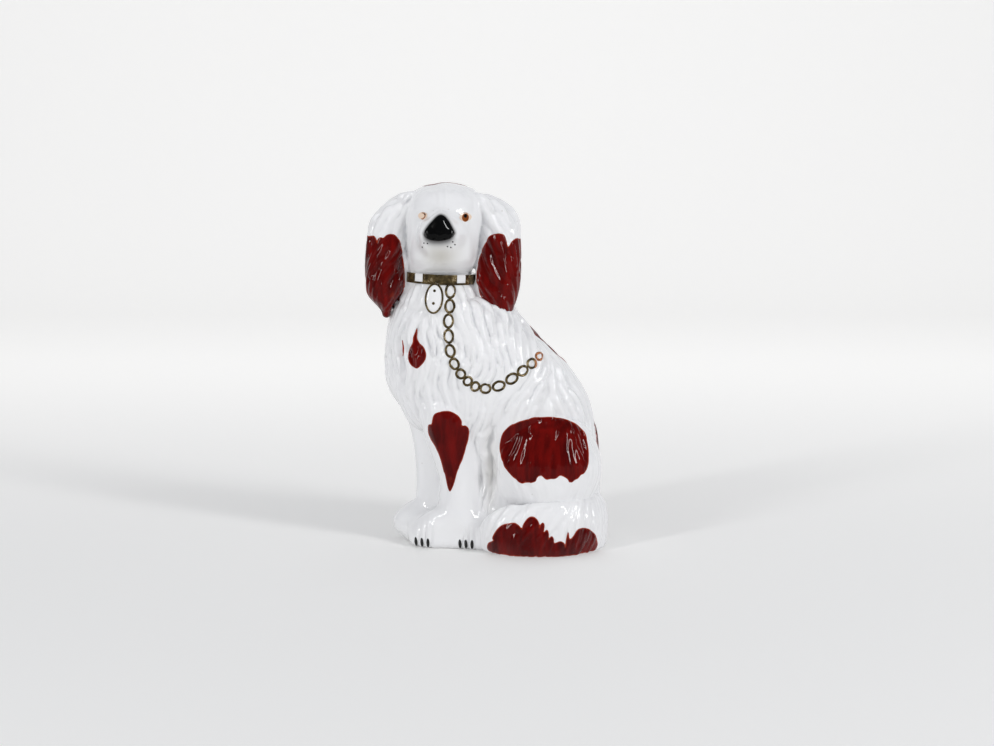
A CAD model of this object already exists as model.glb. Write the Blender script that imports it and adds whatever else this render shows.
"""Seated spaniel mantel figure: the moulded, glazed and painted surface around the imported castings."""

import logging
import math
from dataclasses import dataclass, field
from enum import Enum

import bmesh
import bpy
import numpy as np
from mathutils import Matrix, Vector
from mathutils.bvhtree import BVHTree


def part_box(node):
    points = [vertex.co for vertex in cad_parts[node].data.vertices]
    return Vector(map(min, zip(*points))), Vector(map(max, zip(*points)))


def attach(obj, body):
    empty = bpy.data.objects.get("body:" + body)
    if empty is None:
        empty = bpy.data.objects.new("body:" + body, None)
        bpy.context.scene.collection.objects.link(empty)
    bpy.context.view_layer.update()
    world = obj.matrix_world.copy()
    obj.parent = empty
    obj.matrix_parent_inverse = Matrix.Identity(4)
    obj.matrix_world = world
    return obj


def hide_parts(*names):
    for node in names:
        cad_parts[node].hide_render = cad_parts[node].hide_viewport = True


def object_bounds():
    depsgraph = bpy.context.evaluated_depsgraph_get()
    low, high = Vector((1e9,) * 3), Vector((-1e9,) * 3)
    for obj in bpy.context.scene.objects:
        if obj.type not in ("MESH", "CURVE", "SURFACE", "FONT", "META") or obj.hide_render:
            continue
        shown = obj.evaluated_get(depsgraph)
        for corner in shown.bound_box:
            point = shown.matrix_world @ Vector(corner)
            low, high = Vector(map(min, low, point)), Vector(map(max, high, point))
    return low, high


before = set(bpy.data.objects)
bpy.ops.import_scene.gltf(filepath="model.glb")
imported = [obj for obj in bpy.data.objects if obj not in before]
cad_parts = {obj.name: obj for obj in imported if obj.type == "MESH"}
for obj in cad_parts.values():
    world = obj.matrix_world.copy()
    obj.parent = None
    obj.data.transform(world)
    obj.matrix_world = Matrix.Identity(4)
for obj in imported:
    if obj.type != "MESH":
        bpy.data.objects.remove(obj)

CAD_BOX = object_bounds()
MM = 0.001
BODY = "root"
X, Y, Z = range(3)
TINY = 1e-9
WELD = 1e-6
BEFORE = -90.0

Array = np.ndarray
Colour = tuple[float, float, float, float]
Outline = list[tuple[float, float]]
Socket = bpy.types.NodeSocket

log = logging.getLogger("spaniel_figure")


class Casting(Enum):
    """Clay castings that are luted together, by their node names."""

    BODY_FRONT = "body_front_half"
    BODY_BACK = "body_back_half"
    HEAD_FRONT = "head_front_half"
    HEAD_BACK = "head_back_half"
    LEFT_EAR = "left_ear"
    RIGHT_EAR = "right_ear"
    LEFT_LEG = "left_foreleg"
    RIGHT_LEG = "right_foreleg"
    LEFT_HIND = "left_hind_paw"
    RIGHT_HIND = "right_hind_paw"
    TAIL = "tail"
    BASE = "base_plate"


class Slot(Enum):
    """Finishes that can be changed, by their record names."""

    WHITE = "white_glaze"
    CLAY = "bare_clay"
    RED = "red_enamel"
    BLACK = "black_enamel"
    IRIS = "iris_enamel"
    GILT = "gilding"


CASTINGS = list(Casting)


# ---------------------------------------------------------------- small tools


def ramp(low: float, high: float, values: Array) -> Array:
    """Smooth rise from 0 at low to 1 at high."""
    share = np.clip((values - low) / (high - low), 0.0, 1.0)
    return share * share * (3.0 - 2.0 * share)


def unit(vectors: Array) -> Array:
    """Vectors scaled to length one."""
    return vectors / np.maximum(np.linalg.norm(vectors, axis=-1, keepdims=True), TINY)


def rounded(points: Outline, steps: int = 5) -> Array:
    """Closed line that passes smoothly through points.

    Args:
        points: corners in order round the line.
        steps: points made for each corner.

    Returns:
        Points along the smooth line, one row each.
    """
    p = np.array(points, float)
    before, after, later = np.roll(p, 1, 0), np.roll(p, -1, 0), np.roll(p, -2, 0)
    rows = []
    for t in np.arange(steps) / steps:
        rows.append(0.5 * (2 * p + (after - before) * t + (2 * before - 5 * p + 4 * after - later) * t**2
                           + (3 * p - before - 3 * after + later) * t**3))
    return np.stack(rows, 1).reshape(-1, p.shape[1])


def line_gap(places: Array, a: Array, b: Array) -> tuple[Array, Array]:
    """Nearest gap from places to a chain of straight runs.

    Args:
        places: points, one row each.
        a: start of each run.
        b: end of each run.

    Returns:
        Gap of each place, and the place along the chain as a share of its runs.
    """
    run = b - a
    offset = places[:, None] - a[None]
    along = np.clip((offset * run).sum(-1) / np.maximum((run**2).sum(-1), TINY), 0.0, 1.0)
    gaps = np.sqrt(((offset - along[..., None] * run) ** 2).sum(-1))
    best = gaps.argmin(1)
    rows = np.arange(len(places))
    return gaps[rows, best], (best + along[rows, best]) / len(a)


def inside_by(places: Array, line: Array) -> Array:
    """How far places lie inside a closed line, negative outside it.

    Args:
        places: points on the drawing plane, one row each.
        line: closed line on the same plane.

    Returns:
        Signed distance for each place.
    """
    a, b = line, np.roll(line, -1, 0)
    gap = line_gap(places, a, b)[0]
    above = (a[:, 1] > places[:, None, 1]) != (b[:, 1] > places[:, None, 1])
    rise = b[:, 1] - a[:, 1]
    rise = np.where(np.abs(rise) < TINY, TINY, rise)
    cross = a[:, 0] + (places[:, None, 1] - a[:, 1]) / rise * (b[:, 0] - a[:, 0])
    odd = (above & (places[:, None, 0] < cross)).sum(1) % 2 == 1
    return np.where(odd, gap, -gap)


def read(items: bpy.types.bpy_prop_collection, name: str, width: int) -> Array:
    """Property of every item as an array with width columns."""
    values = np.zeros(len(items) * width, np.float32)
    items.foreach_get(name, values)
    return values.reshape(-1, width).astype(float)


def evaluated_mesh(piece: bpy.types.Object) -> bpy.types.Mesh:
    """Mesh of a piece with its modifiers applied."""
    bpy.context.view_layer.update()
    return bpy.data.meshes.new_from_object(piece.evaluated_get(bpy.context.evaluated_depsgraph_get()))


def place(name: str, mesh: bpy.types.Mesh) -> bpy.types.Object:
    """Object of a mesh, linked to the scene."""
    piece = bpy.data.objects.new(name, mesh)
    bpy.context.scene.collection.objects.link(piece)
    return piece


def mesh_of(bm: bmesh.types.BMesh, name: str) -> bpy.types.Mesh:
    """Mesh of a bmesh, shaded smooth, with the bmesh freed."""
    mesh = bpy.data.meshes.new(name)
    bm.to_mesh(mesh)
    bm.free()
    mesh.shade_smooth()
    return mesh


def front_hit(tree: BVHTree, x: float, z: float) -> tuple[Vector, Vector]:
    """Place in millimetres where the display side is first met, and its outward direction."""
    return tree.ray_cast((x, BEFORE, z), (0.0, 1.0, 0.0))[:2]


def settle(piece: bpy.types.Object, slot: Slot, material: bpy.types.Material,
           *nodes: str) -> bpy.types.Object:
    """Dress a piece and tie it to the figure.

    Args:
        piece: finished object.
        slot: finish that it takes.
        material: material to show.
        nodes: nodes that it stands for.

    Returns:
        The same piece.
    """
    piece.data.materials.clear()
    piece.data.materials.append(material)
    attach(piece, BODY)
    if nodes:
        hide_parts(*nodes)
    log.info("%s: %d faces, %s", piece.name, len(piece.data.polygons), slot.value)
    return piece


# ---------------------------------------------------------------- the clay surface


class Skin:
    """Closed outer surface of the whole figure, in millimetres."""

    def __init__(self, co: Array, quads: Array) -> None:
        """Keep the surface and work out which points are neighbours.

        Args:
            co: point places, one row each.
            quads: four point numbers for each face.
        """
        self.co, self.quads = co, quads
        sides = np.stack([quads, np.roll(quads, -1, 1)], -1).reshape(-1, 2)
        owner = np.repeat(np.arange(len(quads)), 4)
        key = np.sort(sides, 1)
        order = np.lexsort((key[:, 1], key[:, 0]))
        key, owner = key[order], owner[order]
        paired = np.flatnonzero((key[1:] == key[:-1]).all(1))
        self.edges = key[paired]
        self.edge_faces = np.stack([owner[paired], owner[paired + 1]], 1)
        both = np.concatenate([self.edges, self.edges[:, ::-1]])
        both = both[np.argsort(both[:, 0], kind="stable")]
        self.near = both[:, 1]
        self.first, self.count = np.unique(both[:, 0], return_index=True, return_counts=True)[1:]

    def mean_near(self, values: Array) -> Array:
        """Mean of each point's neighbours."""
        total = np.add.reduceat(values[self.near], self.first, axis=0)
        return total / (self.count[:, None] if values.ndim > 1 else self.count)

    def blurred(self, values: Array, rounds: int, share: float = 0.5) -> Array:
        """Values spread over the surface.

        Args:
            values: one value or row for each point.
            rounds: how often each point takes up its neighbours.
            share: part taken from the neighbours each time.

        Returns:
            Spread values.
        """
        for _ in range(rounds):
            values = values + share * (self.mean_near(values) - values)
        return values

    def normals(self) -> Array:
        """Outward direction at each point."""
        p = self.co[self.quads]
        face = np.cross(p[:, 2] - p[:, 0], p[:, 3] - p[:, 1])
        total = np.zeros_like(self.co)
        for corner in range(4):
            for axis in range(3):
                total[:, axis] += np.bincount(self.quads[:, corner], face[:, axis], len(self.co))
        return unit(total)

    def tree(self) -> BVHTree:
        """Search tree of the faces."""
        return BVHTree.FromPolygons(self.co.tolist(), self.quads.tolist())


@dataclass
class ClayBlank:
    """Castings joined as the potter lutes them, with the joints wiped soft.

    Attributes:
        voxel: spacing of the surface points.
        wipe: rounds of smoothing over the joints.
        inward: share of each inward stroke.
        outward: share of each outward stroke, which holds the volume.
    """

    voxel: float = 0.7
    wipe: int = 16
    inward: float = 0.5
    outward: float = 0.42

    def joined(self) -> bpy.types.Object:
        """Merged copies of the castings in one object, with the foot closed."""
        bm = bmesh.new()
        for casting in CASTINGS:
            part = bmesh.new()
            part.from_mesh(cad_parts[casting.value].data)
            bmesh.ops.remove_doubles(part, verts=part.verts, dist=WELD)
            copy = mesh_of(part, "copy")
            bm.from_mesh(copy)
            bpy.data.meshes.remove(copy)
        low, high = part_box(Casting.BASE.value)
        size, centre = high - low, (low + high) / 2
        disc = Matrix.Translation(centre) @ Matrix.Diagonal((size.x, size.y, size.z, 1.0))
        bmesh.ops.create_cone(bm, cap_ends=True, segments=64, radius1=0.5, radius2=0.5, depth=1.0,
                              matrix=disc)
        return place("blank", mesh_of(bm, "blank"))

    def skin(self) -> Skin:
        """Even quad surface over the joined castings, wiped soft."""
        blank = self.joined()
        even = blank.modifiers.new("even", "REMESH")
        even.mode = "VOXEL"
        even.voxel_size = self.voxel * MM
        mesh = evaluated_mesh(blank)
        co = read(mesh.vertices, "co", 3) / MM
        corners = np.zeros(len(mesh.loops), np.int32)
        mesh.loops.foreach_get("vertex_index", corners)
        for spent in (blank.data, mesh):
            bpy.data.meshes.remove(spent)
        skin = Skin(co, corners.reshape(-1, 4))
        for _ in range(self.wipe):
            skin.co = skin.blurred(skin.co, 1, self.inward)
            skin.co = skin.blurred(skin.co, 1, -self.outward)
        return skin


@dataclass
class Makers:
    """Which casting each part of the surface belongs to.

    Attributes:
        skin: surface of the figure.
        point: casting number at each point.
        face: casting number of each face.
    """

    skin: Skin
    point: Array = field(init=False)
    face: Array = field(init=False)

    def __post_init__(self) -> None:
        """Take each face's casting from the nearest casting surface."""
        corners, triangles, owner = [], [], []
        start = 0
        for number, casting in enumerate(CASTINGS):
            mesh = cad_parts[casting.value].data
            places = read(mesh.vertices, "co", 3) / MM
            index = np.zeros(len(mesh.loops), np.int32)
            mesh.loops.foreach_get("vertex_index", index)
            corners.append(places)
            triangles.append(index.reshape(-1, 3) + start)
            owner.append(np.full(len(index) // 3, number))
            start += len(places)
        tree = BVHTree.FromPolygons(np.concatenate(corners).tolist(), np.concatenate(triangles).tolist())
        owner = np.concatenate(owner)
        middles = self.skin.co[self.skin.quads].mean(1)
        self.face = np.array([owner[tree.find_nearest(m)[2]] for m in middles.tolist()])
        self.tidy()
        self.point = np.zeros(len(self.skin.co), int)
        for corner in range(4):
            self.point[self.skin.quads[:, corner]] = self.face

    def tidy(self, rounds: int = 12, hold: float = 1.5, passes: int = 60) -> None:
        """Take out ragged teeth, islands and corner contacts along the seams.

        Args:
            rounds: how often the seams are gone over.
            hold: votes that a face gives its own casting.
            passes: most rounds in which corner contacts are taken out.
        """
        quads = self.skin.quads
        for _ in range(rounds):
            votes = np.zeros((len(self.skin.co), len(CASTINGS)))
            for corner in range(4):
                np.add.at(votes, (quads[:, corner], self.face), 1)
            total = votes[quads].sum(1)
            total[np.arange(len(quads)), self.face] += hold
            self.face = total.argmax(1)
        for _ in range(passes):
            seam = self.face[self.skin.edge_faces[:, 0]] != self.face[self.skin.edge_faces[:, 1]]
            ends = np.zeros((len(self.skin.co), len(CASTINGS)), int)
            for side in (0, 1):
                kind = self.face[self.skin.edge_faces[seam, side]]
                for end in (0, 1):
                    np.add.at(ends, (self.skin.edges[seam, end], kind), 1)
            touch = (ends > 2).any(1)
            if not touch.any():
                return
            winner = ends.argmax(1)
            for corner in range(4):
                hit = touch[quads[:, corner]]
                self.face[hit] = winner[quads[hit, corner]]

    def among(self, *castings: Casting) -> Array:
        """Points that belong to any of the castings."""
        return np.isin(self.point, [CASTINGS.index(c) for c in castings])


@dataclass(frozen=True)
class Dab:
    """One push of the modelling tool, seen from the display side.

    Attributes:
        x: place across.
        z: place up.
        half_x: reach across.
        half_z: reach up.
        push: outward move, inward where negative.
        lean: turn of the dab in degrees.
    """

    x: float
    z: float
    half_x: float
    half_z: float
    push: float
    lean: float = 0.0

    def weight(self, x: Array, z: Array) -> Array:
        """Share of the push at each place."""
        c, s = math.cos(math.radians(self.lean)), math.sin(math.radians(self.lean))
        dx, dz = x - self.x, z - self.z
        return np.exp(-(((c * dx + s * dz) / self.half_x) ** 2) - ((c * dz - s * dx) / self.half_z) ** 2)


@dataclass(frozen=True)
class Zone:
    """Part of the figure with soft limits.

    Attributes:
        limits: axis of each limit, the place where its share is 0 and the place where it is 1.
    """

    limits: tuple[tuple[int, float, float], ...]

    def share(self, co: Array) -> Array:
        """How far each point lies in the zone, from 0 to 1."""
        share = np.ones(len(co))
        for axis, none, full in self.limits:
            share = share * ramp(none, full, co[:, axis])
        return share


@dataclass
class Coat:
    """Moulded hair: pointed locks laid side by side along the flow of the coat.

    Attributes:
        seed: start of the random draws.
        spacing: least gap between the roots of two locks.
        half_width: narrowest and widest half width of a lock.
        length: shortest and longest lock.
        height: lowest and highest crest.
        step: length of one stroke along a lock.
        sway: widest swing of a lock from its flow, in radians.
        wave: length of one swing.
        level: crest height that keeps the form's own surface.
        bed: least height between locks, as a share of the hair around.
        bare: place under the padlock that is left smooth, its push the share.
        chest: deep hair of the chest.
        chest_depth: extra depth there.
        collar: height where the hair under the collar ends, and where it is full.
        ears, tail, legs: depth of their hair.
        root: share of a lock over which it widens.
        rise: share of a lock over which it rises.
        crown: power that rounds its top.
        least: depth below which no lock starts.
        tries: most points that are tried as roots.
        cell: size of the boxes in which near points are looked for.
    """

    seed: int = 11
    spacing: float = 4.5
    half_width: tuple[float, float] = (2.1, 3.6)
    length: tuple[float, float] = (14.0, 32.0)
    height: tuple[float, float] = (1.6, 2.6)
    step: float = 1.3
    sway: float = 0.30
    wave: float = 32.0
    level: float = 1.2
    bed: float = 0.6
    bare: Dab = Dab(-26.4, 131.0, 8.0, 11.0, 1.0)
    chest: Zone = Zone(((Z, 84.0, 100.0), (X, 24.0, 8.0)))
    chest_depth: float = 0.35
    collar: tuple[float, float] = (140.5, 137.0)
    ears: float = 1.0
    tail: float = 0.6
    legs: float = 0.75
    root: float = 0.3
    rise: float = 0.35
    crown: float = 0.75
    least: float = 0.12
    tries: int = 60000
    cell: float = 4.0

    def lay(self, skin: Skin, makers: Makers, normals: Array) -> Array:
        """Way the hair runs at each point.

        Args:
            skin: surface of the figure.
            makers: casting of each point.
            normals: outward direction of each point.

        Returns:
            Unit direction along the surface for each point.
        """
        x, y, z = skin.co.T
        way = np.zeros_like(skin.co)
        way[:, 2] = -1.0
        fan = ramp(108.0, 130.0, z) * (1.0 - ramp(5.0, 40.0, x))
        sweep = ramp(-22.0, 2.0, x) * ramp(58.0, 74.0, z) * (1.0 - self.chest.share(skin.co))
        spine = ramp(26.0, 42.0, x)
        way[:, 0] = np.clip(0.055 * (x + 26.0), -0.6, 0.5) * fan + (0.9 * spine - 0.5) * sweep * (1.0 - fan)
        tail = makers.among(Casting.TAIL)
        way[tail] = (-0.45, 0.0, -0.9)
        crown = makers.among(Casting.HEAD_FRONT, Casting.HEAD_BACK)
        way[crown] = np.stack([0.6 * (x + 22.0), 0.6 * (y - 4.0), np.full_like(x, -14.0)], 1)[crown]
        way = skin.blurred(unit(way), 8)
        way = unit(way - (way * normals).sum(1, keepdims=True) * normals)
        calm = 1.0 - 0.5 * makers.among(Casting.LEFT_EAR, Casting.RIGHT_EAR)
        turn = 2 * math.pi * z / self.wave + 1.3 * np.sin(x / 11.0) + 0.9 * np.sin(y / 9.0)
        swing = self.sway * calm * np.sin(turn)
        side = np.cross(normals, way)
        return way * np.cos(swing)[:, None] + side * np.sin(swing)[:, None]

    def strength(self, skin: Skin, makers: Makers) -> Array:
        """Share of the hair's full depth at each point.

        Args:
            skin: surface of the figure.
            makers: casting of each point.

        Returns:
            Share from 0, smooth clay, to 1, deep hair.
        """
        x, y, z = skin.co.T
        share = np.zeros(len(skin.co))
        trunk = makers.among(Casting.BODY_FRONT, Casting.BODY_BACK)
        rump = 0.8 * ramp(28.0, 40.0, x) * ramp(48.0, 60.0, z)
        haunch = ramp(80.0, 66.0, z) * ramp(0.0, 8.0, x) * (1.0 - rump)
        chest = 1.0 + self.chest_depth * self.chest.share(skin.co)
        neck = ramp(*self.collar, z)
        share[trunk] = (ramp(6.0, 24.0, z) * (1.0 - 0.65 * haunch) * chest * neck)[trunk]
        share[makers.among(Casting.LEFT_EAR, Casting.RIGHT_EAR)] = self.ears
        share[makers.among(Casting.TAIL)] = self.tail
        legs = makers.among(Casting.LEFT_LEG, Casting.RIGHT_LEG)
        share[legs] = (self.legs * ramp(58.0, 76.0, z))[legs]
        crown = makers.among(Casting.HEAD_FRONT, Casting.HEAD_BACK)
        share *= 1.0 - self.bare.weight(x, z) * (y < 0.0)
        nape = 0.4 * ramp(2.0, 14.0, y) * ramp(146.0, 152.0, z) + 0.15 * ramp(180.0, 185.0, z)
        share[crown] = (nape + 0.8 * neck)[crown]
        return skin.blurred(share, 10)

    def roots(self, skin: Skin, share: Array, draw: np.random.Generator) -> Array:
        """Points where locks start, evenly spread.

        Args:
            skin: surface of the figure.
            share: depth share at each point.
            draw: random draws.

        Returns:
            Point numbers.
        """
        taken: dict[tuple[int, int, int], list[Array]] = {}
        chosen = []
        for number in draw.permutation(np.flatnonzero(share > self.least))[:self.tries]:
            spot = skin.co[number]
            cell = tuple((spot // self.spacing).astype(int))
            around = [p for dx in (-1, 0, 1) for dy in (-1, 0, 1) for dz in (-1, 0, 1)
                      for p in taken.get((cell[0] + dx, cell[1] + dy, cell[2] + dz), ())]
            if all(((spot - p) ** 2).sum() > self.spacing**2 for p in around):
                taken.setdefault(cell, []).append(spot)
                chosen.append(number)
        return np.array(chosen)

    def strokes(self, skin: Skin, way: Array, roots: Array) -> Array:
        """Paths that run from the roots along the hair.

        Args:
            skin: surface of the figure.
            way: hair direction at each point.
            roots: point numbers of the roots.

        Returns:
            Path points, by stroke and then by lock.
        """
        tree = skin.tree()
        spots, heading = skin.co[roots], way[roots]
        path = [spots]
        for _ in range(int(self.length[1] / self.step)):
            hits = [tree.find_nearest(p) for p in (spots + self.step * heading).tolist()]
            spots = np.array([tuple(h[0]) for h in hits])
            heading = way[skin.quads[[h[2] for h in hits], 0]]
            path.append(spots)
        return np.stack(path)

    def crests(self, skin: Skin, makers: Makers) -> Array:
        """Height of the hair above its ground at each point.

        Args:
            skin: surface of the figure.
            makers: casting of each point.

        Returns:
            Height in millimetres, before the share is taken.
        """
        draw = np.random.default_rng(self.seed)
        way = self.lay(skin, makers, skin.normals())
        roots = self.roots(skin, self.strength(skin, makers), draw)
        path = self.strokes(skin, way, roots)
        sizes = draw.uniform(size=(len(roots), 4))
        keys = (skin.co // self.cell).astype(int)
        order = np.lexsort(keys.T)
        starts = np.flatnonzero(np.r_[True, (np.diff(keys[order], axis=0) != 0).any(1)])
        boxes = {tuple(keys[group[0]]): group for group in np.split(order, starts[1:])}
        crest = np.zeros(len(skin.co))
        for lock in range(len(roots)):
            size = sizes[lock]
            count = int((self.length[0] + size[0] * (self.length[1] - self.length[0])) / self.step)
            line = path[: count + 1, lock]
            width = self.half_width[0] + size[1] * (self.half_width[1] - self.half_width[0])
            top = self.height[0] + size[2] * (self.height[1] - self.height[0])
            near = {(a, b, c) for p in line for a, b, c in [tuple((p // self.cell).astype(int))]}
            near = {(a + i, b + j, c + k) for a, b, c in near
                    for i in (-1, 0, 1) for j in (-1, 0, 1) for k in (-1, 0, 1)}
            close = np.concatenate([boxes[key] for key in near if key in boxes])
            gap, along = line_gap(skin.co[close], line[:-1], line[1:])
            swell = np.minimum(1.0, (along / self.root) ** 0.6 + 0.25)
            reach = width * swell * np.maximum(1.0 - along, 0.0) ** 0.5 * 1.2
            bulge = np.maximum(1.0 - (gap / np.maximum(reach, 0.05)) ** 2, 0.0) ** self.crown
            rise = (top * np.minimum(1.0, along / self.rise + 0.3) + 0.3 * size[3]) * bulge
            crest[close] = np.maximum(crest[close], rise)
        log.info("coat: %d locks", len(roots))
        return np.maximum(crest, self.bed * skin.blurred(crest, 20))


@dataclass
class Modelling:
    """Face, paws and folds pushed into the wiped clay.

    Attributes:
        face: dabs on the face.
        paws: dabs on the near paws.
        folds: dabs on the body and legs.
        insteps: dabs that fill the paws up to the legs.
        face_front: depth that dabs on the face stop at.
        paw_front: depth that dabs on the paws and folds stop at.
        crown: places across the head and ears, and how far their tops move up there.
        crown_rise: height where the crown's move starts, and where it is full.
        ear_drop: fuller lower edge of the left ear: place across, half width and drop.
        ear_lift: how far the tip of the right ear moves up.
        ear_point: place across of that tip, and the share by which it narrows.
        ear_tuck: how far the hanging ears move to the neck.
        chest_tuck: inward move of the chest's lower edge, its height and half height.
        paw_tuck: inward move of the far paw at the ground, and its outward move above.
        ruff: heights below the collar, and the least radius of the neck there.
        ear_ends, ear_tips, ear_hang, ear_narrow: heights where the drop, lift, tuck and point
            of the ears start, and where they are full.
        chest_edge, paw_edge: places across where the tucks start, and where they are full.
        paw_ground: height where the far paw's tuck starts.
        paw_bulge: height of the far paw's outward move, and its half height.
    """

    face: list[Dab] = field(default_factory=lambda: [
        Dab(-32.9, 174.0, 4.6, 3.4, -0.6), Dab(-11.7, 173.6, 4.6, 3.4, -0.6),
        Dab(-32.9, 172.6, 3.0, 3.6, 0.9, 12.0), Dab(-11.0, 171.6, 3.2, 4.2, 0.9, -12.0),
        Dab(-26.0, 184.0, 0.9, 4.0, -0.3, 8.0), Dab(-22.5, 184.0, 0.9, 5.0, -0.3),
        Dab(-18.5, 184.0, 0.9, 4.0, -0.3, -8.0), Dab(-23.1, 173.6, 4.5, 3.0, 2.6),
        Dab(-23.4, 152.5, 8.0, 4.5, 1.9),
        Dab(-26.6, 163.6, 1.4, 0.9, -0.5, 25.0), Dab(-20.4, 163.5, 1.4, 0.9, -0.5, -25.0),
        Dab(-29.2, 166.0, 1.4, 2.4, 1.0, 28.0), Dab(-17.5, 166.0, 1.4, 2.4, 1.0, -28.0),
    ])
    paws: list[Dab] = field(default_factory=lambda: [
        Dab(-35.9, 4.5, 0.75, 5.5, -0.9, -8.0), Dab(-32.6, 5.0, 0.75, 6.5, -0.9, -6.0),
        Dab(-29.4, 5.0, 0.75, 6.5, -0.65, -4.0),
        Dab(-12.7, 4.5, 0.75, 5.5, -0.9, -6.0), Dab(-9.6, 5.0, 0.75, 6.5, -0.9, -4.0),
        Dab(-6.4, 5.0, 0.75, 6.0, -0.65),
    ])
    folds: list[Dab] = field(default_factory=lambda: [
        Dab(1.8, 41.0, 2.8, 17.0, -3.0), Dab(3.0, 60.0, 3.0, 9.0, -1.0, -25.0),
    ])
    insteps: list[Dab] = field(default_factory=lambda: [
        Dab(-27.0, 16.0, 6.5, 7.0, 2.2), Dab(-9.0, 14.0, 6.0, 6.0, 1.6),
    ])
    face_front: float = -6.0
    paw_front: float = -7.0
    crown: Outline = field(default_factory=lambda: [
        (-66.0, -1.8), (-60.2, -2.9), (-56.0, -3.6), (-51.0, -2.0), (-45.8, -0.9), (-40.4, 0.8),
        (-37.4, 1.3), (-33.0, 0.3), (-27.8, -0.6), (-22.0, 0.0), (-11.0, 0.0), (-7.0, 0.9),
        (-3.5, -0.5), (4.6, -1.4), (10.6, -1.5), (18.0, -1.0)])
    crown_rise: tuple[float, float] = (158.0, 175.0)
    ear_drop: tuple[float, float, float] = (2.5, 5.0, 2.4)
    ear_lift: float = 2.4
    ear_point: tuple[float, float] = (-51.6, 0.42)
    ear_tuck: float = 1.0
    chest_tuck: tuple[float, float, float] = (2.2, 72.0, 9.0)
    paw_tuck: tuple[float, float] = (5.0, 2.2)
    ruff: Outline = field(default_factory=lambda: [
        (122.0, 0.0), (126.0, 20.5), (130.0, 21.0), (134.0, 20.2), (138.4, 18.3), (141.0, 17.4),
        (142.0, 0.0)])
    ear_ends: tuple[float, float] = (142.0, 128.0)
    ear_tips: tuple[float, float] = (140.0, 120.0)
    ear_hang: tuple[float, float] = (172.0, 158.0)
    ear_narrow: tuple[float, float] = (134.0, 121.0)
    chest_edge: tuple[float, float] = (-38.0, -48.0)
    paw_edge: tuple[float, float] = (-36.0, -48.0)
    paw_ground: float = 7.0
    paw_bulge: tuple[float, float] = (12.0, 5.0)

    def reshape(self, skin: Skin, makers: Makers) -> None:
        """Move the tops of the head and ears, tuck the ears in and fill the ruff.

        Args:
            skin: surface of the figure, which is changed.
            makers: casting of each point.
        """
        x, z = skin.co[:, 0], skin.co[:, 2]
        move = np.zeros_like(skin.co)
        left, right = makers.among(Casting.LEFT_EAR), makers.among(Casting.RIGHT_EAR)
        head = makers.among(Casting.HEAD_FRONT, Casting.HEAD_BACK)
        move[:, 2] = np.interp(x, *np.array(self.crown).T) * ramp(*self.crown_rise, z) * (head | left | right)
        middle, half, drop = self.ear_drop
        move[:, 2] -= drop * np.exp(-(((x - middle) / half) ** 2)) * ramp(*self.ear_ends, z) * left
        move[:, 2] += self.ear_lift * ramp(*self.ear_tips, z) * right
        move[:, 0] = self.ear_tuck * ramp(*self.ear_hang, z) * (right.astype(float) - left)
        middle, share = self.ear_point
        move[:, 0] += share * (middle - x) * ramp(*self.ear_narrow, z) * right
        tuck, level, reach = self.chest_tuck
        trunk = makers.among(Casting.BODY_FRONT, Casting.BODY_BACK)
        move[:, 0] += tuck * np.exp(-(((z - level) / reach) ** 2)) * ramp(*self.chest_edge, x) * trunk
        inward, outward = self.paw_tuck
        level, reach = self.paw_bulge
        bulge = inward * ramp(self.paw_ground, 0.0, z) - outward * np.exp(-(((z - level) / reach) ** 2))
        move[:, 0] += bulge * ramp(*self.paw_edge, x) * makers.among(Casting.RIGHT_LEG)
        low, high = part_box("collar_band")
        around = skin.co[:, :2] - np.array((low + high) / 2)[:2] / MM
        lack = np.interp(z, *np.array(self.ruff).T) - np.linalg.norm(around, axis=1)
        move[:, :2] += unit(around) * (np.maximum(lack, 0.0) * (head | trunk))[:, None]
        skin.co = skin.co + skin.blurred(move, 4)

    def pushes(self, skin: Skin, makers: Makers) -> Array:
        """Outward move at each point.

        Args:
            skin: surface of the figure.
            makers: casting of each point.

        Returns:
            Move in millimetres.
        """
        x, y, z = skin.co.T
        total = np.zeros(len(x))
        head = makers.among(Casting.HEAD_FRONT) * ramp(self.face_front, self.face_front - 4.0, y)
        near = ramp(self.paw_front, self.paw_front - 2.0, y)
        paw = makers.among(Casting.LEFT_LEG, Casting.LEFT_HIND) * near
        fold = makers.among(Casting.LEFT_LEG, Casting.BODY_FRONT) * near
        for dabs, where in ((self.face, head), (self.paws, paw), (self.folds, fold), (self.insteps, paw)):
            for dab in dabs:
                total += dab.push * dab.weight(x, z) * where
        return total


# ---------------------------------------------------------------- finishes


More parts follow.
